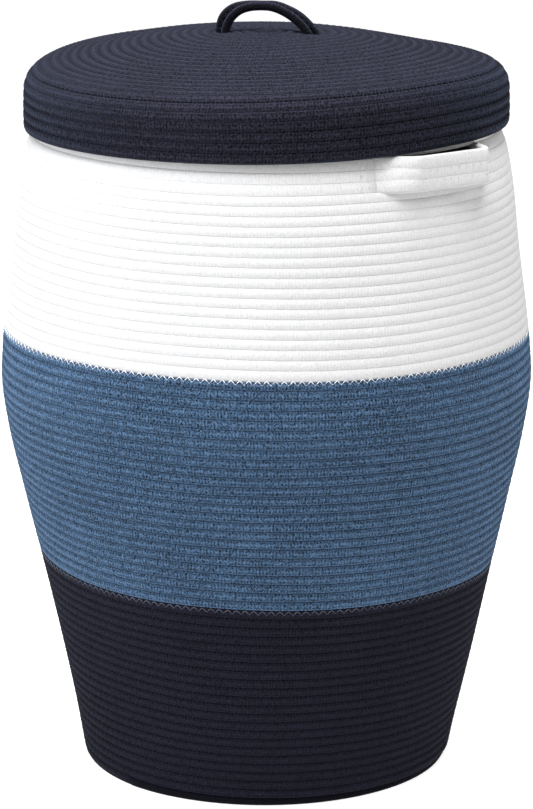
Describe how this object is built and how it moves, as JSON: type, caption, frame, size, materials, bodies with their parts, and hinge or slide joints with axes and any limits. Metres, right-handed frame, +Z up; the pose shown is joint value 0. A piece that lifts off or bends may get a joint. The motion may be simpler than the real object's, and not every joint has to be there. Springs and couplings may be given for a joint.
{
  "type": "laundry hamper with lid",
  "caption": "Barrel-shaped coiled-rope laundry hamper in three colour bands, with bowed rope side handles and a lift-off domed rope lid with a loop handle.",
  "frame": {"origin": "centre of the underside of the base, on the floor", "axes": "+Z up; +X and -X point at the two carrying handles; +Y is the back"},
  "size_m": [0.4448, 0.4448, 0.6451],
  "materials": {
    "navy_rope": "matte braided cotton rope, very dark navy",
    "lid_rope": "matte braided cotton rope, dark navy",
    "blue_rope": "matte braided cotton rope, mid denim blue",
    "white_rope": "matte braided cotton rope, clean white",
    "white_thread": "white polyester sewing thread",
    "blue_thread": "pale grey-blue polyester sewing thread",
    "navy_thread": "dark navy polyester sewing thread"
  },
  "bodies": {
    "basket": {"base_coil": "navy_rope", "navy_wall_coil": "navy_rope", "blue_wall_coil": "blue_rope", "white_wall_coil": "white_rope", "front_handle_level_rows": "white_rope", "back_handle_level_rows": "white_rope", "rim_coil": "white_rope", "right_handle_band": "white_rope", "left_handle_band": "white_rope", "navy_to_blue_seam_thread": "blue_thread", "blue_to_white_seam_thread": "white_thread", "base_seam_thread": "navy_thread", "right_handle_tacks": "white_thread", "left_handle_tacks": "white_thread"},
    "lid": {"lid_top_coil": "lid_rope", "lid_skirt_coil": "lid_rope", "lid_handle_front_strand": "lid_rope", "lid_handle_back_strand": "lid_rope", "lid_handle_stitching": "navy_thread", "lid_handle_tail_tacks": "navy_thread", "lid_edge_seam_thread": "navy_thread"}
  },
  "joints": [
    {"name": "lid_lift", "type": "slide", "parent": "basket", "child": "lid", "axis": [0, 0, 1], "range_m": [0, 0.3]}
  ]
}
